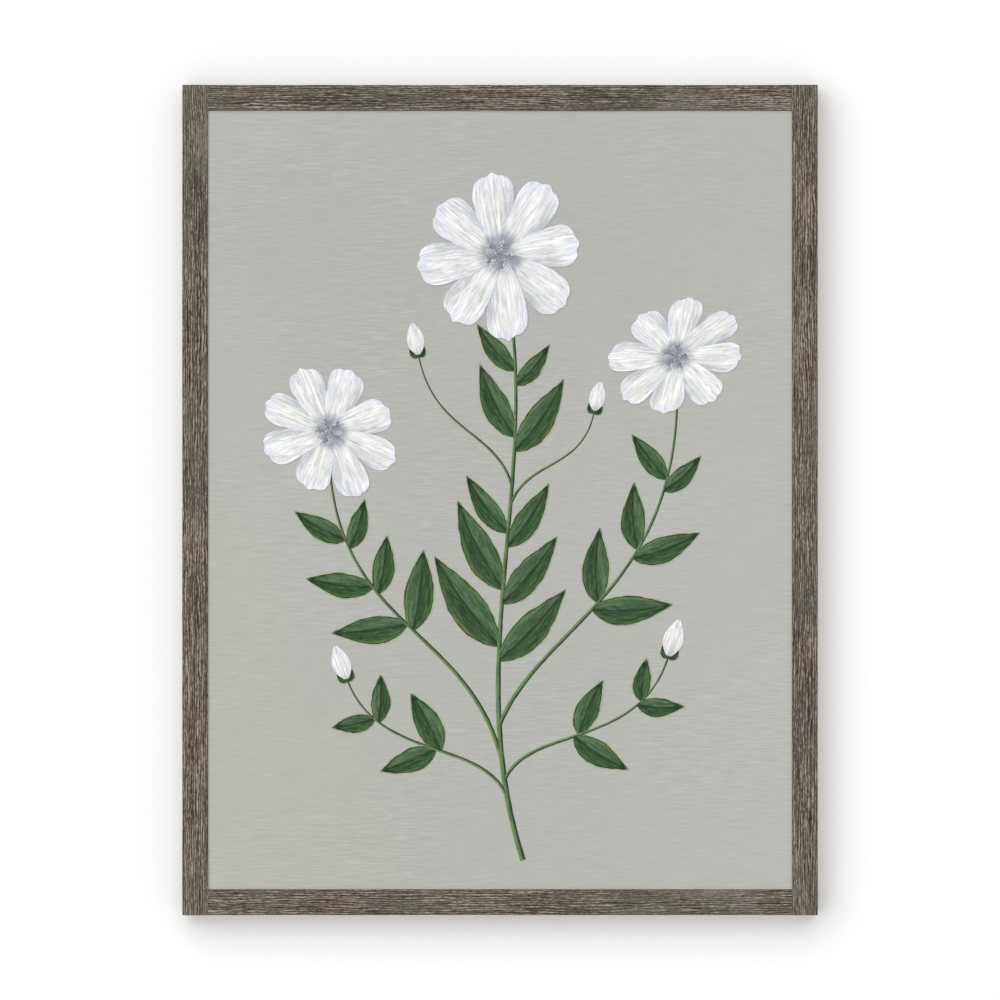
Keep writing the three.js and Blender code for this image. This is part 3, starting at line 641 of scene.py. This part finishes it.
def wood_member(name, side, upright, seed):
    """A frame member: the section carried along the board, with each point set inwards by the
    depth of its groove, by the wear of the arrises and by the easing of the ends. A rail's lip
    ends at the stiles' lips, and its web runs on behind them."""
    spots, around, square, outwards, brushing, rawness = moulding_outline()

    def nearest(x, y):
        return np.argmin(np.abs(spots - [x, y]).sum(1))

    half = OUTER_Z if upright else SIGHT_X
    ease = 0.6 if upright else 0.08
    close = ease * np.array([0.0, 0.08, 0.25, 0.5, 0.8])
    middle = np.linspace(ease, 2 * half - ease, int(2 * half / ROW))
    along = np.concatenate([close, middle, 2 * half - close[::-1]]) - half
    tongue = np.zeros(len(along), bool)
    if not upright:  # the web goes on across the stiles' rebates
        along = np.concatenate([[-WEB_X, -half], along, [half, WEB_X]])
        tongue = np.pad(tongue, 2, constant_values=True)
    u, w = np.meshgrid(along, around, indexing="ij")
    inset = half - np.abs(u)
    grain = brushed_grain(seed, u, w)
    waves = 0.05 * (1 + soft_noise(seed + 10, u, w, 60.0, 9.0))
    depth = brushing * (GROOVE + GROOVE * np.clip(grain, -1, 1) + waves)
    # The arrises are worn, except where a rail butts against a stile.
    outer, sight = around[nearest(0, FRONT_Y)], around[nearest(FACE, FRONT_Y)]
    beside = smoothstep(SIGHT_Z - 0.6, SIGHT_Z, np.abs(u)) if upright else 0 * u
    butted = beside * (np.abs(w - sight) < 4.0)
    arris = np.minimum(np.abs(w - outer), np.abs(w - sight) + 9 * butted)
    worn = 0.03 + 0.30 * np.maximum(0, soft_noise(seed + 11, u, w, 17.0, 40.0))
    depth += brushing * worn * bell(arris, 1.1)
    depth *= 1 - 0.8 * butted
    from_end = np.clip(ease - inset, 0.0, ease)
    depth += ease - np.sqrt(np.maximum(0.0, ease**2 - from_end**2))
    softened = spots + (square - spots) * butted[:, :, None]
    across, y = np.moveaxis(softened - outwards * depth[:, :, None], -1, 0)
    cut = tongue[:, None]
    across = np.where(cut & (spots[:, 0] > WEB - 0.01), WEB, across)
    y = np.where(cut, np.maximum(spots[:, 1], LIP_Y), y)
    if upright:
        points = place(side * (OUTER_X - across), y, u)
    else:
        points = place(u, y, side * (OUTER_Z - across))
    end = ((inset < 0.001) & upright).astype(float)
    patina = 0.9 * upright * bell(inset, 45.0) + 0.4 * bell(arris, 2.4)
    patina += 0.8 * smoothstep(0.12, 0.6, soft_noise(seed + 12, u, w, 62.0, 40.0))
    shade = layered_noise(seed + 13, u, w, (0.7, 46.0, 60.0), (0.5, 24.0, 5.0))
    marks = {
        "groove": grain * (1 - end),
        "patina": np.clip(patina, 0.0, 1.0),
        # The stiles are painted a little darker than the rails: painted shade that evens out the
        # lamps' stronger light on their upright grooves.
        "shade": shade - 0.2 * upright,
        "raw": rawness * (smoothstep(0.5, 2.5, inset) if upright else 1 + 0 * u),
        "end": end,
    }
    # Each end is closed by a fan from the section's inner corner, which sees all of it.
    rows, columns = u.shape
    rim = np.arange(columns)
    fan = np.stack([np.full(columns, nearest(WEB, LIP_Y)), rim, (rim + 1) % columns], axis=1)
    far = fan[:, ::-1] + (rows - 1) * columns
    faces = np.concatenate([halves(grid_quads(rows, columns, ring=True)), fan, far])
    marks = {mark: values.ravel() for mark, values in marks.items()}
    shell = closed_shell(points.reshape(-1, 3), faces, marks)
    finish = UPRIGHT_WOOD if upright else LYING_WOOD
    piece(f"weathered_{name}", [shell], [name], finish)


UPRIGHT_WOOD = weathered_wood("weathered wood, upright", (0.0, 0.0, 0.0))
LYING_WOOD = weathered_wood("weathered wood, lying", ALONG_X)
wood_member("left_stile", -1, True, 100)
wood_member("right_stile", 1, True, 200)
wood_member("top_rail", 1, False, 300)
wood_member("bottom_rail", -1, False, 400)

# ------------------------------------------------ the painted design, as in the part's source
STEMS = [  # foot or fork on the first stem, two bends, tip, width
    ((18, -282), (-34, -120), (40, 30), (0, 192), 4.4),
    (0.16, (-26, -92), (-138, -104), (-134, 54), 3.4),
    (0.22, (34, -92), (150, -72), (138, 112), 3.4),
    (0.10, (-12, -186), (-96, -206), (-120, -140), 2.8),
    (0.13, (22, -176), (110, -196), (132, -122), 2.8),
    (0.62, (-4, 56), (-52, 52), (-64, 114), 2.2),
    (0.59, (24, 34), (64, 22), (74, 70), 2.2),
]
LEAF_RUNS = [  # stem, pairs, from, to, length, width, angle to the stem
    (0, 3, 0.34, 0.53, 84, 26, 46),
    (0, 2, 0.69, 0.80, 62, 20, 46),
    (1, 3, 0.46, 0.76, 60, 21, 52),
    (2, 3, 0.44, 0.78, 60, 21, 52),
    (3, 2, 0.46, 0.78, 50, 19, 52),
    (4, 2, 0.46, 0.78, 50, 19, 52),
]
FLOWERS = [  # name, stem, radius, turn, squash, lean
    ("top", 0, 65, 8, 1.0, 0),
    ("left", 1, 57, 22, 0.86, 60),
    ("right", 2, 54, -6, 0.82, 115),
]
BUDS = [(3, 27), (4, 29), (5, 25), (6, 23)]  # stem, length
PETALS = 8
DABS = 74
GOLDEN_SHARE, GOLDEN_ANGLE = 0.6180339887, math.radians(137.50776)


def wobble(k):
    """A repeatable draw from -1 to 1, from steps of the golden ratio."""
    return 2 * ((k * GOLDEN_SHARE) % 1.0) - 1


def bezier(bends, s):
    """Points and unit directions of a cubic curve at shares `s` along it."""
    a, b, c, d = (np.array(p, float)[:, None] for p in bends)
    r = 1 - s
    at = a * r**3 + 3 * b * s * r**2 + 3 * c * s**2 * r + d * s**3
    towards = 3 * ((b - a) * r**2 + 2 * (c - b) * s * r + (d - c) * s**2)
    return at, towards / np.linalg.norm(towards, axis=0)


def on_stem(stem, share):
    """A point on a stem, at a share of the way along it, and the stem's angle there."""
    at, towards = bezier(CURVES[stem], np.array([share]))
    return at[:, 0], math.atan2(towards[1, 0], towards[0, 0])


def lie(at, angle, along, aside):
    """Points at distances along a line that leaves `at` at an angle, and aside of it."""
    dx, dz = math.cos(angle), math.sin(angle)
    return at[0] + along * dx - aside * dz, at[1] + along * dz + aside * dx


def stroke_grid(rows, columns):
    """Shares 0 to 1 along a stroke and -1 to 1 across it, as two grids."""
    return np.meshgrid(np.linspace(0, 1, rows), np.linspace(-1, 1, columns), indexing="ij")


CURVES = []
for start, *bends, _ in STEMS:
    CURVES.append([start if isinstance(start, tuple) else on_stem(0, start)[0], *bends])


def stem_film(n):
    """A stem: a ribbon along its curve that narrows to under half its width, with an uneven
    edge, a round back, and one side lighter."""
    width = STEMS[n][-1]
    reach = np.linalg.norm(np.diff(bezier(CURVES[n], np.linspace(0, 1, 200))[0]), axis=0).sum()
    s, v = stroke_grid(int(reach / 1.8), 9)
    at, towards = bezier(CURVES[n], s[:, 0])
    far = s * reach
    side = (width / 2) * (1 - 0.55 * s) * (1 + 0.13 * soft_noise(40 + n, far, v, 7.0, 2.0))
    x = at[0][:, None] - towards[1][:, None] * side * v
    z = at[1][:, None] + towards[0][:, None] * side * v
    rise = 0.30 + 0.22 * (1 - v * v) + 0.06 * soft_noise(50 + n, far, v * side, 9.0, 0.5)
    marks = {
        "edge": 0.75 + side * (1 - np.abs(v)) + 1.6 * smoothstep(-0.2, 0.3, v),
        "lit": smoothstep(-0.8, 0.6, v + 0.4 * soft_noise(60 + n, far, v, 26.0, 3.0)),
        "rib": 0.5 * smoothstep(-0.35, -0.85, v),
        "gold": 0.85 * smoothstep(-0.7, 0.5, v) * (1 - 0.35 * s),
        "strokes": np.stack([v * side, far], axis=-1),
    }
    return film(x, z, rise, marks)


def leaf_film(seed, at, angle, length, width, bend, rows=54, columns=23):
    """A lance-shaped leaf: half its width is a stalk plus sin(pi s^0.8), and its midrib bends
    aside as the square of the distance. The two halves rise a little from a sunk midrib."""
    s, v = stroke_grid(rows, columns)
    out = np.abs(v)
    along = length * s
    blade = (width / 2) * np.sin(np.pi * s**0.8)
    ragged = 1 + 0.05 * soft_noise(seed, along, v, 6.0, 1.5)
    side = (0.9 * (1 - s) + 0.15 + blade) * ragged
    side += 0.12 * soft_noise(seed + 2, along, v, 1.6, 1.5) + 0.5 * smoothstep(0.0, 0.2, s)
    x, z = lie(at, angle, along, length * bend * s * s + v * side)
    slant = along - 0.5 * out * side
    arcs = soft_noise(seed + 1, slant, v * side, 16.0, 1.3)
    lumps = soft_noise(seed, slant, v * side, 5.0, 2.4)
    rise = 0.24 + 0.22 * out * (2 - out) + 0.08 * arcs + 0.06 * lumps
    # Faint side veins leave the midrib at a slant.
    veins = smoothstep(0.72, 1.0, np.cos(2 * np.pi * (along - 1.1 * out * side) / 6.5))
    rib = bell(v * side, 0.8) * smoothstep(1.0, 0.75, s)
    lit = smoothstep(-0.12, 0.30, v * (1 if math.cos(angle) > 0 else -1))
    to_rim = np.minimum(side * (1 - out), 0.4 + 1.2 * (1 - s) * length / 8)
    marks = {
        "edge": to_rim + 2.0 * smoothstep(0.16, 0.05, s),
        "lit": 0.15 + 0.75 * lit + 0.25 * arcs - 0.25 * veins,
        "rib": np.clip(0.85 * rib + 0.2 * smoothstep(0.5, 0.9, out) * (v < 0), 0, 1),
        "gold": 0.5 * smoothstep(0.66, 0.88, out),
        "strokes": np.stack([v * (0.35 * side + 0.33 * width), along], axis=-1),
    }
    return film(x, z, rise, marks)


def leaf_films():
    """Every leaf, in pairs that grow shorter up the stem."""
    made = []
    for run, (stem, pairs, start, end, length, width, spread) in enumerate(LEAF_RUNS):
        for n in range(pairs):
            share = n / (pairs - 1)
            t = start + (end - start) * share
            for sign in (-1, 1):
                k = 16 * run + 2 * n + (sign + 1) // 2
                at = on_stem(stem, t + 0.012 * sign)[0]
                size = (1 - 0.3 * share) * (1 + 0.1 * wobble(k))
                opening = math.radians(spread + 8 * wobble(3 * k + 1))
                angle = on_stem(stem, t)[1] + sign * opening
                bend = -sign * (0.16 + 0.08 * wobble(5 * k + 2))
                made.append(leaf_film(500 + 3 * k, at, angle, length * size, width * size, bend))
    return made


def sepal_films(n, stem, length):
    """The green cup that holds a bud: two curled leaves."""
    at, angle = on_stem(stem, 1.0)
    back, opening = lie(at, angle, -2, 0), math.radians(38)
    return [
        leaf_film(700 + 2 * n + sign, back, angle + sign * opening,
                  0.5 * length, 0.3 * length, -0.35 * sign, 24, 13)
        for sign in (-1, 1)
    ]


def petal_film(n, flower, k):
    """One petal: a wedge with round shoulders and three shallow teeth at its tip, bent a little
    to one side. One edge lies higher, so that each petal overlaps the next all the way round.
    Strokes fan out along it, and the paint stands up in ridges and lumps."""
    _, stem, radius, turn, squash, lean = flower
    s, v = stroke_grid(80, 51)
    out = np.abs(v)
    seed = 800 + 40 * n + 4 * k
    inner = 0.13 * radius
    reach = radius * (1 + 0.05 * wobble(k + radius)) - inner
    teeth = 0.03 * (1 - np.cos(2 * np.pi * v)) / 2
    ragged = 0.010 * soft_noise(seed, v, s, 0.22, 0.3) + 0.004 * soft_noise(seed, v, s, 0.06, 0.3)
    r = inner + reach * s * (1 - (0.07 * v * v + teeth + ragged) * s)
    side = 0.31 * radius * (0.3 + 0.7 * s**0.7) * np.sqrt(1 - 0.72 * s**6)
    side = side * (1 + 0.03 * soft_noise(seed + 1, s, v, 0.14, 1.5))
    bent = 0.045 * reach * wobble(2 * k + 5 * n + 1) * s * s
    # The flower is squashed along a line that leans, as one that is seen from the side.
    tilt = math.radians(lean)
    x, z = lie((0, 0), math.radians(turn) + 2 * math.pi * k / PETALS - tilt, r, side * v + bent)
    x, z = lie(on_stem(stem, 1.0)[0], tilt, squash * x, z)
    far = s * reach
    fan = v * (0.5 * side + 0.11 * radius)
    ridges = soft_noise(seed + 2, far, fan, 15.0, 1.5)
    bristles = soft_noise(seed + 3, far, fan, 8.0, 0.8)
    lumps = soft_noise(seed + 1, far, fan, 6.0, 3.0)
    rise = 0.56 + 0.15 * (1 + v) + 0.36 * np.sin(np.pi * s) * (1 - v * v)
    lip = np.maximum(smoothstep(0.80, 0.97, out), smoothstep(0.86, 0.97, s))
    rise += (0.10 * lip + 0.10 * ridges + 0.05 * bristles + 0.08 * lumps) * smoothstep(0, 0.3, s)
    rim = np.maximum(smoothstep(0.55, 0.98, out), smoothstep(0.68, 0.98, s))
    vein = bell(v * side, 0.8) * smoothstep(0.85, 0.3, s)
    overlapped = smoothstep(-0.25, -0.85, v) * smoothstep(1.0, 0.55, s)
    marks = {
        "rim": np.clip(rim + 0.5 * lumps, 0, 1),
        "shade": np.clip(0.95 * overlapped + 0.35 * vein, 0, 1),
        "smudge": smoothstep(0.36, 0.0, s) * (0.8 + 0.2 * wobble(3 * k + n)),
        "crest": 0.6 * ridges + 0.6 * bristles + 0.3 * lumps,
        "strokes": np.stack([fan + 60 * k, far], axis=-1),
    }
    return film(x, z, rise, marks)


def dab_films(n, flower):
    """The middle of a flower: dabs of thick paint set out as seeds are, each at the golden angle
    from the last and its distance as the square root of its number, over a low disc."""
    stem, radius = flower[1:3]
    centre = on_stem(stem, 1.0)[0]
    full = 0.18 * radius
    # The disc: rows run outwards and columns once round.
    s, v = stroke_grid(14, 41)
    east, north = np.cos(v * np.pi), np.sin(v * np.pi)
    r = full * 0.95 * s
    ragged = r * (1 + 0.05 * soft_noise(900 + n, east, north, 0.4, 0.4) * smoothstep(0.6, 1.0, s))
    marks = {"tint": 0.15 + 0.0 * s, "strokes": np.stack([r * east, r * north], axis=-1)}
    x, z = centre[0] + ragged * east, centre[1] + ragged * north
    made = [film(x, z, 0.95 - 0.25 * s**4, marks, ring=True)]
    s, v = stroke_grid(5, 5)
    for k in range(DABS):
        share = (k + 0.5) / DABS
        angle = k * GOLDEN_ANGLE
        at = lie(centre, angle, full * 0.97 * math.sqrt(share), 0)
        length = full * (0.15 + 0.17 * share) * (1 + 0.25 * wobble(7 * k + n))
        aside = (0.34 * length * np.sin(np.pi * (0.12 + 0.76 * s)) + 0.03) * v
        along = length * (s - 0.6)
        x, z = lie(at, angle + 0.5 * wobble(11 * k + 3 * n), along, aside)
        rise = 1.02 + 0.45 * np.sin(np.pi * (0.1 + 0.8 * s)) * (1 - 0.8 * v * v) - 0.4 * share
        marks = {
            "tint": np.clip(0.5 + 0.5 * wobble(5 * k + n) + 0.25 * s - 0.15, 0, 1),
            "strokes": np.stack([aside + 9 * k, along], axis=-1),
        }
        made.append(film(x, z, rise, marks))
    return made


def bud_films(n, stem, length):
    """A closed bud: an egg with a blunt point, and two folded petals that wrap it from the
    sides, each a band whose inner edge curves over the egg."""
    at, angle = on_stem(stem, 1.0)
    made = []
    s, v = stroke_grid(40, 27)
    egg = 0.27 * length * np.sin(np.pi * (0.08 + 0.86 * s**0.9))
    for layer, (low, high) in enumerate([(-1.0, 1.0), (-1.0, 0.12), (0.02, 1.0)]):
        across = low + (high - low) * (v + 1) / 2
        aside, along = egg * across, length * s
        if layer:
            way = 1 if layer == 1 else -1
            curve = 0.55 * np.sin(np.pi * s) - 0.35
            across = np.clip(across + curve * (way + v) / 2, -1, 1)
            aside = egg * across * 0.99
            along = length * (0.02 + (0.93 - 0.05 * layer) * s)
        x, z = lie(at, angle, along, aside)
        ridges = soft_noise(950 + 5 * n + layer, along, aside, 9.0, 1.1)
        rise = 0.52 + 0.42 * (1 - across**2) + 0.05 * ridges + 0.12 * layer
        seam = smoothstep(0.3, 0.0, np.abs(across)) * (layer == 0)
        marks = {
            "rim": np.maximum(smoothstep(0.55, 0.95, np.abs(v)), smoothstep(0.75, 1.0, s)),
            "shade": seam + 0.5 * smoothstep(0.35, 0.0, s),
            "smudge": 0.5 * smoothstep(0.25, 0.0, s),
            "crest": ridges,
            "strokes": np.stack([aside + 40 * layer, along], axis=-1),
        }
        made.append(film(x, z, rise, marks))
    return made


WHITE, LEAF, EYE = white_paint(), leaf_paint(), eye_paint()
greenery = [stem_film(n) for n in range(len(STEMS))] + leaf_films()
for n, (stem, length) in enumerate(BUDS):
    greenery += sepal_films(n, stem, length)
piece("brushed_stems_and_leaves", greenery, ["painted_stems_and_leaves"], LEAF)
for n, flower in enumerate(FLOWERS):
    title = flower[0]
    petals = [petal_film(n, flower, k) for k in range(PETALS)]
    piece(f"brushed_flower_{title}", petals, [f"painted_flower_{title}"], WHITE)
    piece(f"dabbed_eye_{title}", dab_films(n, flower), [f"painted_eye_{title}"], EYE)
for n, (stem, length) in enumerate(BUDS):
    wrapped = bud_films(n, stem, length)
    piece(f"brushed_bud_{n + 1}", wrapped, [f"painted_bud_{n + 1}"], WHITE)

# ------------------------------------------------ fittings at the back
NAIL_Z = 3.0  # above the hanging point
NAIL_X = 18.5  # each way from the middle
BUMPER_Z = 12.0  # above the frame's bottom edge
POINTS, DOWELS = 14, 8  # how many there are
POINT_EDGE, WELD = 0.00008, 0.00001  # metres: bevel of a point's edges, and reach of its weld


def quarter(r, h, across, tall, steps):
    """Points of a quarter of an ellipse about (r, h) in a profile, from its side to its top."""
    swing = np.linspace(0, np.pi / 2, steps)
    return list(zip(r + across * np.cos(swing), h + tall * np.sin(swing)))


def nail(name, x):
    """A round-headed nail: a shank with a sharp end, and a domed head."""
    dome = quarter(0, 0.25, 2.0, 0.55, 8)
    profile = [(0, -11.0), (0.7, -9.6), (0.7, 0.0), (1.86, 0.0), (2.0, 0.1), *dome]
    shell = turned(profile, 40, (x, BACK_Y + 1.0, NAIL_Z))
    piece(f"turned_{name}", [shell], [name], NAILS)


def bumper(name, side):
    """A rubber button with a round edge and a shallow dish in its face."""
    edge = quarter(5.2, 2.2, 0.8, 0.8, 6)
    profile = [(0, 0), (5.85, 0), (6.0, 0.15), *edge, (3.6, 3.0), (2.8, 2.86), (0, 2.8)]
    centre = (side * (OUTER_X - WEB / 2), BACK_Y, BUMPER_Z - OUTER_Z - HANG)
    piece(f"moulded_{name}", [turned(profile, 72, centre)], [name], RUBBER)


ZINC = plated("zinc plate", (0.34, 0.36, 0.38), (0.60, 0.62, 0.64), 0.0014, (0.80, 0.82, 0.84))
BRASS = plated("brass plate", (0.33, 0.23, 0.08), (0.55, 0.39, 0.15), 0.0009, (0.76, 0.62, 0.34))
NAILS = plated("brass nails", (0.22, 0.15, 0.06), (0.40, 0.28, 0.11), 0.0006, (0.70, 0.56, 0.30))
RUBBER = black_rubber()
nail("hanger_nail_1", -NAIL_X)
nail("hanger_nail_2", NAIL_X)
bumper("wall_bumper_left", -1)
bumper("wall_bumper_right", 1)


def dress(node, finish, soften=0.0):
    """A CAD node keeps its shape and gets its finish; pressed sheet gets a small live bevel."""
    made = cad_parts[node]
    made.data.materials.clear()
    made.data.materials.append(finish)
    if soften:
        weld = made.modifiers.new("weld", "WELD")
        weld.merge_threshold = WELD
        bevel = made.modifiers.new("soft edges", "BEVEL")
        bevel.width, bevel.segments, bevel.limit_method = soften, 2, "ANGLE"
        bevel.angle_limit = math.radians(30)


dress("painted_panel", painted_ground())
dress("backing_board", kraft_board())
dress("sawtooth_hanger", BRASS)
for n in range(POINTS):
    dress(f"framers_point_{n + 1}", ZINC, POINT_EDGE)
BEECH = beech()
for n in range(DOWELS):
    dress(f"corner_dowel_{n + 1}", BEECH)

# ------------------------------------------------ camera, wall, floor and light
MIDDLE = -HANG * MM
LENS, SENSOR = 250.0, 36.0
VIEW = 0.783  # metres across the picture that the camera takes, at the frame's front
camera = bpy.data.objects.new("camera", bpy.data.cameras.new("camera"))
camera.data.lens, camera.data.sensor_width, camera.data.clip_end = LENS, SENSOR, 60.0
camera.location = (0.0, FRONT_Y * MM - VIEW / SENSOR * LENS, MIDDLE)
camera.rotation_euler = (math.radians(90), 0.0, 0.0)
scene.collection.objects.link(camera)
scene.camera = camera


def stage_plane(name, corners, grey, glow=0.0):
    """A pale plane that shows only on its front, and doesn't shade or tint the picture. The
    floor glows a little, so that its far edge doesn't stand out against the white around it."""
    graph = Finish(name, specular=0.1)
    inputs = graph.shader.inputs
    inputs["Roughness"].default_value = 0.9
    inputs["Emission Color"].default_value = (1.0, 1.0, 1.0, 1.0)
    inputs["Emission Strength"].default_value = glow
    mottled = graph.blend(graph.hills(graph.here(), 900.0), (0.98 * grey,) * 3, (grey,) * 3)
    graph.feed(inputs["Base Color"], mottled)
    clear = graph.add("ShaderNodeBsdfTransparent").outputs[0]
    behind = graph.add("ShaderNodeNewGeometry").outputs["Backfacing"]
    both = graph.add("ShaderNodeMixShader", (behind, graph.shader.outputs[0], clear))
    graph.feed(graph.tree.nodes["Material Output"].inputs[0], both.outputs[0])
    mesh = bpy.data.meshes.new(name)
    mesh.from_pydata(corners, [], [(0, 1, 2, 3)])
    mesh.materials.append(graph.material)
    plane = bpy.data.objects.new(name, mesh)
    plane.visible_shadow = plane.visible_diffuse = False
    plane.visible_glossy = plane.visible_transmission = False
    scene.collection.objects.link(plane)


WIDE, NEAR, FAR = 30.0, -30.0, 30.0
WALL_Y, LOW, HIGH = 0.0004, MIDDLE - 1.2, 3.0
stage_plane("wall", [(-WIDE, WALL_Y, LOW), (WIDE, WALL_Y, LOW), (WIDE, WALL_Y, HIGH),
                     (-WIDE, WALL_Y, HIGH)], 0.95)
stage_plane("floor", [(-WIDE, FAR, LOW), (-WIDE, NEAR, LOW), (WIDE, NEAR, LOW),
                      (WIDE, FAR, LOW)], 0.90, 0.22)


def soft_light(name, towards, spread, strength):
    """A very large, distant soft box: parallel light that is blurred over `spread` degrees."""
    lamp = bpy.data.lights.new(name, "SUN")
    lamp.angle, lamp.energy = math.radians(spread), strength
    made = bpy.data.objects.new(name, lamp)
    x, y, z = towards
    made.rotation_euler = (math.atan2(math.hypot(x, y), -z), 0.0, math.atan2(-x, y))
    scene.collection.objects.link(made)


soft_light("key", (0.35, 1.0, -0.35), 80.0, 1.9)
soft_light("back fill", (-0.3, -1.0, -0.35), 80.0, 1.5)

# The light from all round is soft grey, and the camera sees plain white behind everything.
world = bpy.data.worlds.new("studio")
world.use_nodes = True
scene.world = world
graph = Graph(world.node_tree)
sky = world.node_tree.nodes["Background"]
sky.inputs[0].default_value = (0.56, 0.56, 0.56, 1.0)
seen = graph.add("ShaderNodeBackground", [(1.05, 1.05, 1.05)]).outputs[0]
to_eye = graph.add("ShaderNodeLightPath").outputs["Is Camera Ray"]
mixed = graph.add("ShaderNodeMixShader", (to_eye, sky.outputs[0], seen))
graph.feed(world.node_tree.nodes["World Output"].inputs[0], mixed.outputs[0])
scene.view_settings.view_transform = "Standard"
